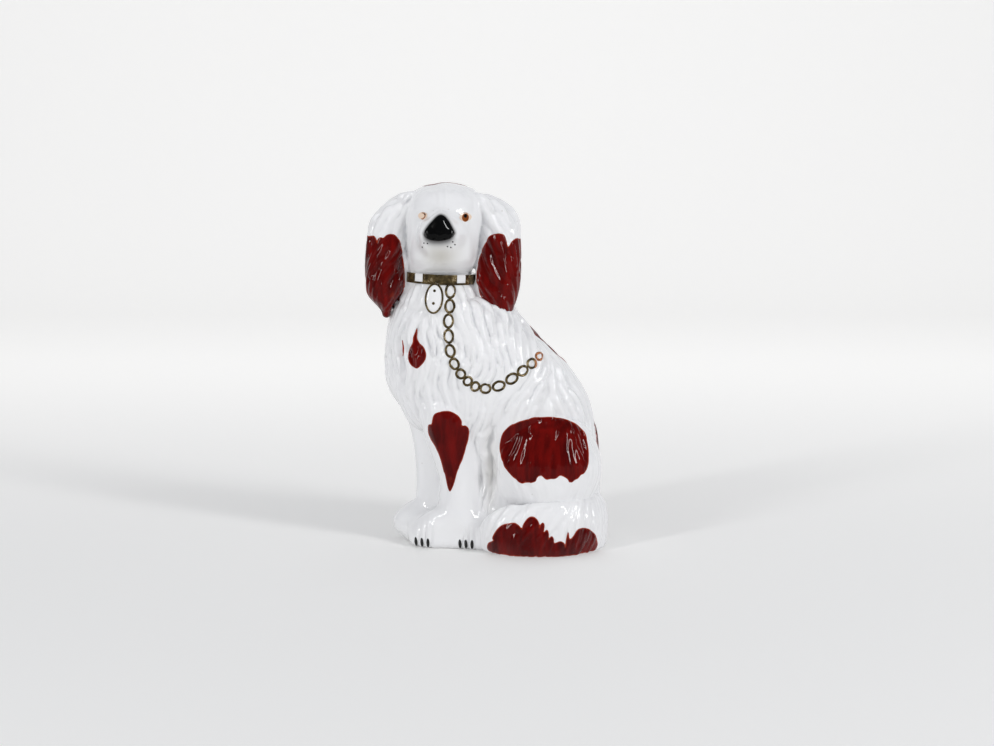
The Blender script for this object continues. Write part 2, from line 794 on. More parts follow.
class Tree:
    """Short way to write a node tree."""

    def __init__(self, tree: bpy.types.NodeTree) -> None:
        """Start on an empty tree."""
        self.tree = tree
        tree.nodes.clear()

    def add(self, kind: str, inputs: dict | None = None, **settings: object) -> bpy.types.Node:
        """New node.

        Args:
            kind: node type.
            inputs: values or sockets by input name or number.
            settings: properties of the node.

        Returns:
            The node.
        """
        node = self.tree.nodes.new(kind)
        for name, value in settings.items():
            setattr(node, name, value)
        for key, value in (inputs or {}).items():
            if isinstance(value, bpy.types.NodeSocket):
                self.tree.links.new(value, node.inputs[key])
            else:
                node.inputs[key].default_value = value
        return node

    def noise(self, where: Socket, scale: Socket | float, detail: float = 2.0, rough: float = 0.5) -> Socket:
        """Soft noise value at a place."""
        return self.add("ShaderNodeTexNoise",
                        {"Vector": where, "Scale": scale, "Detail": detail, "Roughness": rough}).outputs[0]

    def span(self, value: Socket, low: float, high: float, to_low: float = 0.0,
             to_high: float = 1.0) -> Socket:
        """Value moved smoothly from one span to another, held at its ends."""
        ends = {"Value": value, "From Min": low, "From Max": high, "To Min": to_low, "To Max": to_high}
        return self.add("ShaderNodeMapRange", ends, interpolation_type="SMOOTHSTEP").outputs[0]

    def blend(self, share: Socket, low: Socket | Colour, high: Socket | Colour) -> Socket:
        """Colour between two colours."""
        return self.add("ShaderNodeMix", {0: share, 6: low, 7: high}, data_type="RGBA").outputs[2]

    def math(self, operation: str, first: Socket | float, second: Socket | float = 0.0) -> Socket:
        """One sum on two values."""
        return self.add("ShaderNodeMath", {0: first, 1: second}, operation=operation).outputs[0]

    def place(self) -> Socket:
        """Place on the figure in metres."""
        return self.add("ShaderNodeTexCoord").outputs["Object"]

    def join(self, source: Socket, target: Socket) -> None:
        """Link one socket to another."""
        self.tree.links.new(source, target)

    def painted(self, name: str) -> Socket:
        """Value carried by the piece's own points."""
        return self.add("ShaderNodeAttribute", attribute_name=name).outputs["Fac"]


def group(name: str, inputs: dict[str, float],
          outputs: list[str]) -> tuple[bpy.types.NodeTree, Tree, dict[str, Socket], bpy.types.Node]:
    """New shader node group with value sockets.

    Args:
        name: name of the group.
        inputs: input names and their usual values.
        outputs: output names.

    Returns:
        The group, its writer, its input sockets by name, and its output node.
    """
    tree = bpy.data.node_groups.new(name, "ShaderNodeTree")
    writer = Tree(tree)
    for label, usual in inputs.items():
        tree.interface.new_socket(label, in_out="INPUT", socket_type="NodeSocketFloat").default_value = usual
    for label in outputs:
        tree.interface.new_socket(label, in_out="OUTPUT", socket_type="NodeSocketFloat")
    entry, leave = writer.add("NodeGroupInput"), writer.add("NodeGroupOutput")
    return tree, writer, {s.name: s for s in entry.outputs if s.name}, leave


class Effects:
    """Surface effects that the finishes share, each a node group built once."""

    def __init__(self) -> None:
        """Build the groups."""
        self.ripple = self.make_ripple()
        self.specks = self.make_specks()
        self.strokes = self.make_strokes()

    @staticmethod
    def make_ripple() -> bpy.types.NodeTree:
        """Uneven fired surface: slow swells and a fine orange-peel."""
        tree, w, get, leave = group("fired_ripple", {"Swell": 60.0, "Peel": 420.0}, ["Height", "Tone"])
        where = w.place()
        swell = w.noise(where, get["Swell"])
        peel = w.noise(where, get["Peel"], 1.0)
        w.join(w.math("ADD", swell, w.math("MULTIPLY", peel, 0.18)), leave.inputs["Height"])
        w.join(w.span(swell, 0.3, 0.7), leave.inputs["Tone"])
        return tree

    @staticmethod
    def make_specks() -> bpy.types.NodeTree:
        """Sparse dark specks and pinholes in a fired surface."""
        tree, w, get, leave = group("kiln_specks", {"Density": 260.0}, ["Speck"])
        where = w.place()
        cells = w.add("ShaderNodeTexVoronoi", {"Vector": where, "Scale": get["Density"]})
        rare = w.span(w.add("ShaderNodeSeparateColor", {0: cells.outputs["Color"]}).outputs[0], 0.93, 0.95)
        dot = w.span(cells.outputs["Distance"], 0.16, 0.08)
        w.join(w.math("MULTIPLY", rare, dot), leave.inputs["Speck"])
        return tree

    @staticmethod
    def make_strokes() -> bpy.types.NodeTree:
        """Upright brush strokes and thin places in a painted layer."""
        tree, w, get, leave = group("brush_strokes", {"Edge": 1.0, "Rim": 0.8}, ["Streak", "Thin"])
        where = w.place()
        long = w.add("ShaderNodeMapping", {"Vector": where, "Scale": (260.0, 260.0, 45.0)}).outputs[0]
        streak = w.noise(long, 1.0, 2.0, 0.5)
        patchy = w.noise(where, 150.0, 3.0, 0.55)
        w.join(streak, leave.inputs["Streak"])
        share = w.math("DIVIDE", get["Edge"], get["Rim"])
        rim = w.span(w.math("ADD", share, w.math("MULTIPLY", patchy, 0.9)), 0.45, 1.35, 1.0, 0.0)
        worn = w.math("ADD", w.math("MULTIPLY", streak, 0.6), w.math("MULTIPLY", patchy, 0.6))
        bare = w.span(worn, 0.72, 0.88)
        w.join(w.math("MAXIMUM", rim, w.math("MULTIPLY", bare, 0.35)), leave.inputs["Thin"])
        return tree


@dataclass(frozen=True)
class Finish:
    """Fired finish with its colours.

    Attributes:
        name: name of the material.
        main: usual colour.
        deep: colour where it lies thick or pools.
        thin: colour where it is thin or worn.
        rough: lowest and highest roughness.
        metal: metallic share.
        gloss: strength of the mirror light.
        ripple: depth of the uneven surface in metres.
    """

    name: str
    main: Colour
    deep: Colour
    thin: Colour
    rough: tuple[float, float]
    metal: float = 0.0
    gloss: float = 0.5
    ripple: float = 0.0002

    def start(self) -> tuple[bpy.types.Material, Tree, bpy.types.Node]:
        """New material with its shader and the values that are the same all over."""
        material = bpy.data.materials.new(self.name)
        material.use_nodes = True
        w = Tree(material.node_tree)
        shader = w.add("ShaderNodeBsdfPrincipled", {"Metallic": self.metal, "Specular IOR Level": self.gloss})
        out = w.add("ShaderNodeOutputMaterial")
        w.join(shader.outputs[0], out.inputs[0])
        return material, w, shader

    def bump(self, w: Tree, shader: bpy.types.Node, height: Socket, depth: float) -> None:
        """Let a height shape the shading.

        Args:
            w: writer of the material.
            shader: shader of the material.
            height: height value.
            depth: height in metres where the value is 1.
        """
        node = w.add("ShaderNodeBump", {"Height": height, "Strength": 0.6, "Distance": depth})
        w.join(node.outputs[0], shader.inputs["Normal"])


@dataclass(frozen=True)
class Glaze(Finish):
    """White glaze over clay, which pools in the hollows, with a breath of colour round the nose.

    Attributes:
        haze: warm shade under the muzzle.
        soot: black that is dabbed round the nose.
        grit: colour of the specks.
        mottle, pool, speck: strength of the thin places, the pools and the specks.
        sunk: depth of a hollow where it starts to pool, and where the pool is full.
    """

    haze: Colour = (0.52, 0.49, 0.41, 1.0)
    soot: Colour = (0.012, 0.011, 0.011, 1.0)
    grit: Colour = (0.25, 0.2, 0.15, 1.0)
    mottle: float = 0.25
    pool: float = 0.55
    speck: float = 0.22
    sunk: tuple[float, float] = (0.04, 0.55)

    def material(self, effects: Effects) -> bpy.types.Material:
        """Build the glaze.

        Args:
            effects: shared node groups.

        Returns:
            Material that reads the hollow, haze and smoke values of its piece.
        """
        material, w, shader = self.start()
        ripple = w.add("ShaderNodeGroup", node_tree=effects.ripple)
        specks = w.add("ShaderNodeGroup", node_tree=effects.specks)
        pooled = w.span(w.painted("hollow"), *self.sunk)
        colour = w.blend(w.math("MULTIPLY", ripple.outputs["Tone"], self.mottle), self.main, self.thin)
        colour = w.blend(w.math("MULTIPLY", pooled, self.pool), colour, self.deep)
        colour = w.blend(w.math("MULTIPLY", specks.outputs["Speck"], self.speck), colour, self.grit)
        colour = w.blend(w.painted("haze"), colour, self.haze)
        colour = w.blend(w.painted("smoke"), colour, self.soot)
        w.join(colour, shader.inputs["Base Color"])
        rough = w.span(ripple.outputs["Tone"], 0.0, 1.0, *self.rough)
        w.join(rough, shader.inputs["Roughness"])
        self.bump(w, shader, ripple.outputs["Height"], self.ripple)
        return material


@dataclass(frozen=True)
class Enamel(Finish):
    """Brushed enamel, thinner and lighter at its edge.

    Attributes:
        rim: width of the thin edge in millimetres.
    """

    rim: float = 0.8

    def material(self, effects: Effects) -> bpy.types.Material:
        """Build the enamel.

        Args:
            effects: shared node groups.

        Returns:
            Material that reads the edge value of its piece.
        """
        material, w, shader = self.start()
        ripple = w.add("ShaderNodeGroup", node_tree=effects.ripple)
        strokes = w.add("ShaderNodeGroup", {"Edge": w.painted("edge"), "Rim": self.rim},
                        node_tree=effects.strokes)
        pooled = w.math("MULTIPLY", w.span(strokes.outputs["Streak"], 0.30, 0.7), 0.7)
        pooled = w.math("ADD", pooled, w.math("MULTIPLY", ripple.outputs["Tone"], 0.35))
        colour = w.blend(pooled, self.main, self.deep)
        colour = w.blend(strokes.outputs["Thin"], colour, self.thin)
        w.join(colour, shader.inputs["Base Color"])
        rough = w.span(strokes.outputs["Streak"], 0.3, 0.75, *self.rough)
        w.join(rough, shader.inputs["Roughness"])
        height = w.math("ADD", ripple.outputs["Height"], w.math("MULTIPLY", strokes.outputs["Streak"], 0.35))
        self.bump(w, shader, height, self.ripple)
        return material


@dataclass(frozen=True)
class Gilding(Finish):
    """Brushed gold, dark where it is thick and rubbed where it is thin.

    Attributes:
        copper: colour of the place that was fired hotter.
        edge: place across where it starts and where it is full, in metres.
    """

    copper: Colour = (0.50, 0.20, 0.085, 1.0)
    edge: tuple[float, float] = (0.0238, 0.0256)

    def material(self, effects: Effects) -> bpy.types.Material:
        """Build the gilding.

        Args:
            effects: shared node groups.

        Returns:
            Material with rubbed places and a hand-brushed surface.
        """
        material, w, shader = self.start()
        ripple = w.add("ShaderNodeGroup", {"Swell": 220.0, "Peel": 900.0}, node_tree=effects.ripple)
        where = w.place()
        patchy = w.noise(where, 330.0, 4.0, 0.6)
        colour = w.blend(w.span(patchy, 0.35, 0.65), self.deep, self.main)
        colour = w.blend(w.span(patchy, 0.60, 0.70), colour, self.thin)
        across = w.add("ShaderNodeSeparateXYZ", {0: where}).outputs["X"]
        colour = w.blend(w.span(across, *self.edge), colour, self.copper)
        w.join(colour, shader.inputs["Base Color"])
        w.join(w.span(patchy, 0.3, 0.7, *self.rough), shader.inputs["Roughness"])
        self.bump(w, shader, ripple.outputs["Height"], self.ripple)
        return material


@dataclass(frozen=True)
class BareClay(Finish):
    """Unglazed fired clay of the underside.

    Attributes:
        grit: colour of the specks.
    """

    grit: Colour = (0.16, 0.1, 0.06, 1.0)

    def material(self, effects: Effects) -> bpy.types.Material:
        """Build the bare clay.

        Args:
            effects: shared node groups.

        Returns:
            Material with grit and stains.
        """
        material, w, shader = self.start()
        where = w.place()
        stain, grit = w.noise(where, 45.0, 4.0, 0.6), w.noise(where, 900.0, 3.0, 0.7)
        specks = w.add("ShaderNodeGroup", {"Density": 420.0}, node_tree=effects.specks)
        colour = w.blend(w.span(stain, 0.35, 0.7), self.main, self.deep)
        colour = w.blend(w.span(grit, 0.45, 0.75), colour, self.thin)
        colour = w.blend(specks.outputs["Speck"], colour, self.grit)
        w.join(colour, shader.inputs["Base Color"])
        w.join(w.span(grit, 0.3, 0.7, *self.rough), shader.inputs["Roughness"])
        self.bump(w, shader, grit, self.ripple)
        return material


WHITE_GLAZE = Glaze("white_glaze", (0.84, 0.84, 0.85, 1.0), (0.52, 0.53, 0.57, 1.0), (0.87, 0.87, 0.86, 1.0),
                    (0.04, 0.10))
RED_ENAMEL = Enamel("red_enamel", (0.155, 0.0035, 0.0025, 1.0), (0.055, 0.001, 0.001, 1.0),
                    (0.34, 0.036, 0.012, 1.0), (0.02, 0.07), gloss=0.4)
BLACK_ENAMEL = Enamel("black_enamel", (0.003, 0.003, 0.0035, 1.0), (0.0015, 0.0015, 0.0015, 1.0),
                      (0.016, 0.014, 0.013, 1.0), (0.03, 0.08), gloss=0.45, rim=0.4)
IRIS_ENAMEL = Enamel("iris_enamel", (0.33, 0.095, 0.02, 1.0), (0.17, 0.04, 0.009, 1.0),
                     (0.84, 0.66, 0.52, 1.0), (0.03, 0.08), rim=0.5)
GILT = Gilding("gilding", (0.21, 0.152, 0.066, 1.0), (0.055, 0.040, 0.020, 1.0), (0.64, 0.53, 0.35, 1.0),
               (0.10, 0.30), metal=0.6, ripple=0.0003)
BARE_CLAY = BareClay("bare_clay", (0.62, 0.50, 0.38, 1.0), (0.47, 0.36, 0.26, 1.0), (0.70, 0.60, 0.48, 1.0),
                     (0.75, 0.92), ripple=0.0004)


# ---------------------------------------------------------------- the sculpted figure


MUZZLE = Zone(((Z, 148.0, 152.0), (Z, 181.0, 176.0), (X, -41.0, -36.0), (X, -5.0, -10.0), (Y, -10.0, -16.0)))
FEET = Zone(((Z, 38.0, 24.0), (X, -46.0, -41.0), (X, 8.0, 2.0), (Y, 8.0, 2.0)))


@dataclass
class Sculpture:
    """Whole figure in clay: joined, wiped, modelled and combed.

    Attributes:
        blank: how the castings are joined.
        coat: moulded hair.
        modelling: face and paws.
        muzzle_wipe, feet_wipe: rounds of smoothing there, and the clay that is put back on.
        hollow_rounds: reach of the test for hollows.
        skin: finished surface.
        makers: casting of each point and face.
        ground, ground_normals: surface under the hair, and its outward directions.
        normals: outward direction of each finished point.
        crest: height of the hair at each point.
        hollow: how deep each point lies below those around it.
    """

    blank: ClayBlank = field(default_factory=ClayBlank)
    coat: Coat = field(default_factory=Coat)
    modelling: Modelling = field(default_factory=Modelling)
    muzzle_wipe: tuple[int, float] = (110, 1.0)
    feet_wipe: tuple[int, float] = (150, 1.2)
    hollow_rounds: int = 7
    skin: Skin = field(init=False)
    makers: Makers = field(init=False)
    ground: Array = field(init=False)
    ground_normals: Array = field(init=False)
    normals: Array = field(init=False)
    crest: Array = field(init=False)
    hollow: Array = field(init=False)

    def __post_init__(self) -> None:
        """Work the surface from the joined castings to the finished clay."""
        self.skin = skin = self.blank.skin()
        self.makers = Makers(skin)
        self.modelling.reshape(skin, self.makers)
        self.soften_ear_roots()
        muzzle, feet = MUZZLE.share(skin.co), FEET.share(skin.co)
        self.wipe(muzzle, *self.muzzle_wipe)
        self.wipe(feet, *self.feet_wipe)
        skin.co = skin.co + self.modelling.pushes(skin, self.makers)[:, None] * self.outward()
        self.ground, self.ground_normals = skin.co, skin.normals()
        self.crest = self.coat.crests(skin, self.makers)
        depth = self.coat.strength(skin, self.makers) * (self.crest - self.coat.level)
        skin.co = skin.co + skin.blurred(depth, 1, 0.4)[:, None] * self.ground_normals
        low, high = (np.array(corner) / MM for corner in CAD_BOX)
        skin.co = np.clip(skin.co, low, high)
        self.normals = skin.normals()
        sunk = ((skin.blurred(skin.co, self.hollow_rounds) - skin.co) * self.normals).sum(1)
        self.hollow = skin.blurred(sunk, 1)

    def soften_ear_roots(self, reach: int = 45, low: float = 164.0, high: float = 176.0) -> None:
        """Run the ears into the crown where they hang from it.

        Args:
            reach: rounds of smoothing.
            low: height where the smoothing starts.
            high: height where it is full.
        """
        skin = self.skin
        ears = skin.blurred(self.makers.among(Casting.LEFT_EAR, Casting.RIGHT_EAR).astype(float), reach)
        head = skin.blurred(self.makers.among(Casting.HEAD_FRONT, Casting.HEAD_BACK).astype(float), reach)
        self.wipe(np.clip(5.0 * ears * head, 0.0, 1.0) * ramp(low, high, skin.co[:, 2]), reach)

    def wipe(self, share: Array, rounds: int, fill: float = 0.0) -> None:
        """Wipe the clay smooth in one place.

        Args:
            share: how much of the smoothing each point takes.
            rounds: rounds of smoothing.
            fill: clay that is put back on, in millimetres.
        """
        skin = self.skin
        skin.co = skin.co + share[:, None] * (skin.blurred(skin.co, rounds) - skin.co)
        skin.co = skin.co + fill * share[:, None] * self.outward()

    def outward(self, rounds: int = 16) -> Array:
        """Outward direction at each point, evened out so that a narrow crease doesn't cross itself."""
        return unit(self.skin.blurred(self.skin.normals(), rounds))

    def sheet(self, name: str, faces: Array, **values: Array) -> bpy.types.Mesh:
        """Open sheet of chosen faces that carries values at its points.

        Args:
            name: name of the mesh.
            faces: true for each face that is taken.
            values: one value or row for each point of the figure.

        Returns:
            Mesh in metres.
        """
        used, index = np.unique(self.skin.quads[faces], return_inverse=True)
        mesh = bpy.data.meshes.new(name)
        mesh.from_pydata((self.skin.co[used] * MM).tolist(), [], index.reshape(-1, 4).tolist())
        for label, value in {"facing": self.normals, **values}.items():
            kind, key = ("FLOAT", "value") if value.ndim == 1 else ("FLOAT_VECTOR", "vector")
            layer = mesh.attributes.new(label, kind, "POINT")
            layer.data.foreach_set(key, value[used].astype(np.float32).ravel())
        return mesh


def walled(name: str, sheet: bpy.types.Mesh, wall: float) -> bpy.types.Object:
    """Closed piece of a sheet, with its back laid along the sheet's inner places.

    Args:
        name: name of the piece.
        sheet: open mesh with facing values, and inner values where its back has its own shape.
        wall: thickness where the sheet has no inner values.

    Returns:
        Piece that shades as the whole figure does.
    """
    piece = place(name, sheet)
    shell = piece.modifiers.new("wall", "SOLIDIFY")
    shell.thickness, shell.offset = wall * MM, -1.0
    solid = evaluated_mesh(piece)
    piece.modifiers.clear()
    front = read(sheet.vertices, "co", 3)
    piece.data = solid
    co = read(solid.vertices, "co", 3)
    count = len(front)
    back = np.arange(len(co)) >= count
    if np.abs(co[:count] - front).max() > np.abs(co[count:] - front).max():
        back = ~back
    facing = read(solid.attributes["facing"].data, "vector", 3)
    facing[back] *= -1.0
    if "inner" in solid.attributes:
        co[back] = read(solid.attributes["inner"].data, "vector", 3)[back]
    co = np.clip(co, *(np.array(corner) for corner in CAD_BOX))
    solid.vertices.foreach_set("co", co.astype(np.float32).ravel())
    solid.shade_smooth()
    solid.normals_split_custom_set_from_vertices(facing)
    for spare in ("facing", "inner"):
        if spare in solid.attributes:
            solid.attributes.remove(solid.attributes[spare])
    bpy.data.meshes.remove(sheet)
    return piece


NOSE: Outline = [
    (-22.9, 174.5), (-24.7, 173.7), (-26.7, 171.7), (-28.7, 169.5), (-30.3, 167.2), (-31.1, 165.3),
    (-30.5, 163.8), (-28.2, 162.5), (-25.2, 162.0), (-22.1, 162.1), (-19.3, 162.7), (-17.0, 164.1),
    (-16.3, 166.0), (-17.6, 168.8), (-19.1, 171.5), (-20.9, 173.7)]


@dataclass
class GlazedCastings:
    """Each casting as a hollow shell under white glaze.

    Attributes:
        wall: thickness of the shells.
        soot_reach: reach of the black round the nose, above it and below it.
        shades: warm shade under the muzzle and beside the foreleg, each push its deepest share.
    """

    wall: float = 1.6
    soot_reach: tuple[float, float] = (0.9, 2.4)
    shades: tuple[Dab, Dab] = (Dab(-23.2, 154.0, 8.5, 6.0, 0.62), Dab(1.6, 40.0, 3.6, 18.0, 0.30))

    def smoke(self, sculpture: Sculpture) -> Array:
        """Share of black dabbed round the nose at each point."""
        x, y, z = sculpture.skin.co.T
        share = np.zeros(len(x))
        near = sculpture.makers.among(Casting.HEAD_FRONT) & (y < -14.0)
        gap = np.maximum(-inside_by(np.stack([x, z], 1)[near], rounded(NOSE)), 0.0)
        low, high = self.soot_reach
        share[near] = np.exp(-((gap / (low + (high - low) * ramp(164.5, 160.5, z[near]))) ** 2))
        return 0.9 * share

    def haze(self, sculpture: Sculpture) -> Array:
        """Share of the warm shade at each point."""
        x, y, z = sculpture.skin.co.T
        muzzle, leg = (dab.push * dab.weight(x, z) for dab in self.shades)
        body = sculpture.makers.among(Casting.BODY_FRONT, Casting.LEFT_LEG)
        face = sculpture.makers.among(Casting.HEAD_FRONT) * ramp(-12.0, -18.0, y)
        return muzzle * face + leg * body * ramp(-4.0, -9.0, y)

    def build(self, sculpture: Sculpture, material: bpy.types.Material) -> None:
        """Cut the castings from the figure and dress them.

        Args:
            sculpture: the whole figure.
            material: white glaze.
        """
        inner = (sculpture.ground - self.wall * sculpture.ground_normals) * MM
        smoke, haze = self.smoke(sculpture), self.haze(sculpture)
        for number, casting in enumerate(CASTINGS):
            if casting is Casting.BASE:
                continue
            sheet = sculpture.sheet(casting.value, sculpture.makers.face == number,
                                    hollow=sculpture.hollow, smoke=smoke, haze=haze, inner=inner)
            piece = walled("glazed_" + casting.value, sheet, self.wall)
            settle(piece, Slot.WHITE, material, casting.value)


@dataclass(frozen=True)
class Patch:
    """Painted patch, drawn on the display side.

    Attributes:
        name: name of the piece.
        outlines: closed lines round the paint, across and up, or across and deep where plan is set.
        nodes: nodes that it stands for.
        castings: castings that it may lie on.
        slot: finish that it takes.
        stop: depth where it ends, or the least height where plan is set.
        far: whether it lies beyond the stop and not before it.
        plan: whether it is drawn from above.
        ragged: how far the edge follows the hair.
        cuts: extra cuts of each face, for a small patch.
        lift: height of the paint above the glaze.
        wash: factor on the distance from the edge that the paint's thickness follows, 0 for a thin wash.
    """

    name: str
    outlines: tuple[Outline, ...]
    nodes: tuple[str, ...]
    castings: tuple[Casting, ...]
    slot: Slot
    stop: float = 4.0
    far: bool = False
    plan: bool = False
    ragged: float = 0.0
    cuts: int = 0
    lift: float = 0.12
    wash: float = 1.0

    def inside(self, co: Array) -> Array:
        """How far places lie inside the drawn lines."""
        flat = co[:, :2] if self.plan else co[:, [0, 2]]
        depth = np.full(len(co), -9.0)
        for outline in self.outlines:
            line = rounded(outline)
            near = ((flat > line.min(0) - 2.0) & (flat < line.max(0) + 2.0)).all(1)
            depth[near] = np.maximum(depth[near], inside_by(flat[near], line))
        if self.plan:
            return np.minimum(depth, co[:, 2] - self.stop)
        if not self.far:
            return np.minimum(depth, self.stop - co[:, 1])
        wander = 0.9 * np.sin(0.5 * co[:, 2]) + 0.5 * np.sin(1.3 * co[:, 2])
        return np.minimum(depth, co[:, 1] - self.stop + wander)


@dataclass
class Painting:
    """Enamel patches, each a thin closed layer on the glaze.

    Attributes:
        sink: depth of the layer's back below the glaze.
        seam: steepness of the limit along a casting's edge.
        tuft: hair height where a ragged edge keeps its drawn line.
    """

    sink: float = 0.2
    seam: float = 4.0
    tuft: float = 0.9

    def lay(self, sculpture: Sculpture, patch: Patch) -> bpy.types.Object:
        """Cut a patch along its line and lift it off the glaze.

        Args:
            sculpture: the whole figure.
            patch: patch to lay.

        Returns:
            The closed layer.
        """
        skin = sculpture.skin
        own = skin.blurred(sculpture.makers.among(*patch.castings).astype(float), 3)
        limit = (own - 0.5) * self.seam
        hair = patch.ragged * (sculpture.crest - self.tuft)
        reach = np.minimum(patch.inside(skin.co) + hair, limit)
        faces = (reach[skin.quads] > 0).any(1)
        sheet = sculpture.sheet(patch.name, faces, edge=reach, limit=limit)
        bm = bmesh.new()
        bm.from_mesh(sheet)
        bpy.data.meshes.remove(sheet)
        edge, limit_layer = bm.verts.layers.float["edge"], bm.verts.layers.float["limit"]
        facing = bm.verts.layers.float_vector["facing"]
        if patch.cuts:
            bmesh.ops.subdivide_edges(bm, edges=bm.edges, cuts=patch.cuts, use_grid_fill=True)
            depth = patch.inside(np.array([v.co for v in bm.verts]) / MM)
            for vert, value in zip(bm.verts, depth):
                vert[edge] = min(value, vert[limit_layer])
        fresh = []
        for line in list(bm.edges):
            a, b = line.verts[0][edge], line.verts[1][edge]
            if a * b < 0.0:
                vert = bmesh.utils.edge_split(line, line.verts[0], a / (a - b))[1]
                vert[edge] = 0.0
                fresh.append(vert)
        bmesh.ops.connect_verts(bm, verts=fresh)
        outside = [f for f in bm.faces if min(v[edge] for v in f.verts) < -1e-5]
        bmesh.ops.delete(bm, geom=outside, context="FACES")
        bmesh.ops.remove_doubles(bm, verts=bm.verts, dist=0.02 * MM)
        for vert in bm.verts:
            vert.co += vert[facing].normalized() * patch.lift * MM
            vert[edge] *= patch.wash
        bm.verts.layers.float.remove(limit_layer)
        return walled(patch.name, mesh_of(bm, patch.name), patch.lift + self.sink)


LEFT_EAR_LINE: Outline = [
    (0.3, 161.5), (2.1, 163.5), (4.4, 164.2), (6.7, 164.0), (8.6, 163.3), (9.4, 161.0), (10.3, 157.2),
    (11.7, 158.2), (12.7, 159.8), (14.4, 161.2), (16.5, 161.0), (21, 158), (21, 140), (18, 128),
    (15, 121), (10, 118.5), (5, 120), (1.2, 124.5), (-1.6, 129.6), (-4.0, 133.2), (-4.8, 137.0),
    (-5.3, 141.5), (-4.9, 146.1), (-4.0, 151.2), (-2.6, 155.4), (-1.1, 158.8)]
RIGHT_EAR_LINE: Outline = [
    (-66, 161), (-61, 162.4), (-58.6, 162.9), (-57.1, 161.7), (-56.3, 159.2), (-55.7, 161.4),
    (-54.5, 162.1), (-53.0, 161.8), (-51.6, 163.2), (-49.4, 164.1), (-47.4, 163.5), (-46.0, 161.7),
    (-45.0, 159.8), (-44.1, 156.3), (-43.4, 151.7), (-42.7, 146.1), (-42.6, 141.0), (-43.0, 136.5),
    (-44.6, 132.0), (-47.0, 127.0), (-50.4, 121.5), (-54.0, 116), (-60, 124), (-67, 134)]
CHEST_DROP_LINE: Outline = [
    (-36.0, 116.3), (-35.8, 113.6), (-35.9, 111.0), (-34.7, 108.8), (-32.4, 106.6), (-31.2, 103.1),
    (-31.9, 99.9), (-34.1, 97.1), (-36.4, 95.5), (-39.3, 97.1), (-40.8, 100.7), (-40.2, 104.9),
    (-38.4, 108.6), (-38.1, 111.3), (-37.1, 114.0)]
CHEST_FLECK_LINE: Outline = [
    (-44.0, 110.6), (-43.0, 106.6), (-43.0, 103.0), (-44.0, 99.4), (-43.7, 102.8), (-43.7, 106.5)]
FORELEG_LINE: Outline = [
    (-28.0, 69.1), (-26.6, 72.4), (-20.7, 73.9), (-15.8, 72.0), (-13.5, 68.8), (-13.3, 66.0),
    (-10.9, 65.8), (-9.5, 63.3), (-10.0, 58.8), (-11.8, 52.4), (-13.6, 46.9), (-15.5, 41.3),
    (-17.3, 34.6), (-19.4, 30.6), (-20.9, 33.2), (-22.4, 40.8), (-24.1, 48.4), (-26.8, 54.9),
    (-29.5, 59.3), (-30.6, 63.0), (-30.2, 66.0), (-28.5, 66.7)]
HAUNCH_LINE: Outline = [
    (6.8, 52.9), (7.1, 58.3), (8.4, 62.2), (10.9, 65.2), (13.8, 67.0), (19.9, 69.1), (27.2, 70.4),
    (37.6, 69.3), (44.9, 66.5), (48.1, 63.9), (50.4, 61.0), (51.5, 56.2), (52.1, 50.3), (51.8, 45.8),
    (50.3, 42.7), (48.0, 41.4), (46.1, 39.5), (42.5, 37.9), (41.4, 39.6), (39.3, 41.0), (37.3, 41.4),
    (34.2, 40.1), (30.5, 39.9), (27.8, 42.0), (25.4, 40.5), (24.2, 38.7), (19.4, 37.4), (16.6, 37.8),
    (14.3, 39.7), (9.1, 45.1)]
TAIL_LINE: Outline = [
    (0.9, 1.7), (0.6, 5.7), (3.4, 7.8), (2.9, 9.3), (5.0, 13.3), (8.1, 16.2), (13.2, 17.6),
    (15.7, 16.8), (17.7, 14.8), (18.8, 17.4), (20.8, 20.2), (22.9, 21.1), (24.9, 20.3), (26.2, 17.6),
    (26.6, 15.1), (27.4, 17.3), (28.6, 18.1), (29.1, 16.2), (28.9, 13.2), (30.4, 14.6), (31.2, 12.4),
    (31.3, 9.8), (32.8, 11.3), (33.8, 10.0), (34.3, 7.6), (37.3, 8.2), (39.2, 7.0), (40.1, 4.6),
    (40.5, 9.3), (41.4, 12.8), (41.9, 9.2), (43.6, 9.6), (46.1, 13.0), (48.2, 13.8), (50.4, 13.6),
    (53.1, 12.0), (55.4, 9.3), (56.8, 5.6), (56.9, 2.2), (55.0, 0.8), (40, 0.6), (21.9, 0.6),
    (9.1, 0.8)]
SHOULDER_STROKE_LINE: Outline = [
    (24, 116), (33, 110), (41, 101), (39, 90), (29, 93), (21, 104)]
RUMP_STROKE_LINE: Outline = [
    (52, 68), (62, 57), (66, 47), (60, 40), (50, 42), (46, 56)]
CROWN_LINE: Outline = [
    (-34, 9), (-30, 2.4), (-22, 0.2), (-14, 1.9), (-10, 8), (-14, 17), (-22, 19), (-30, 17)]
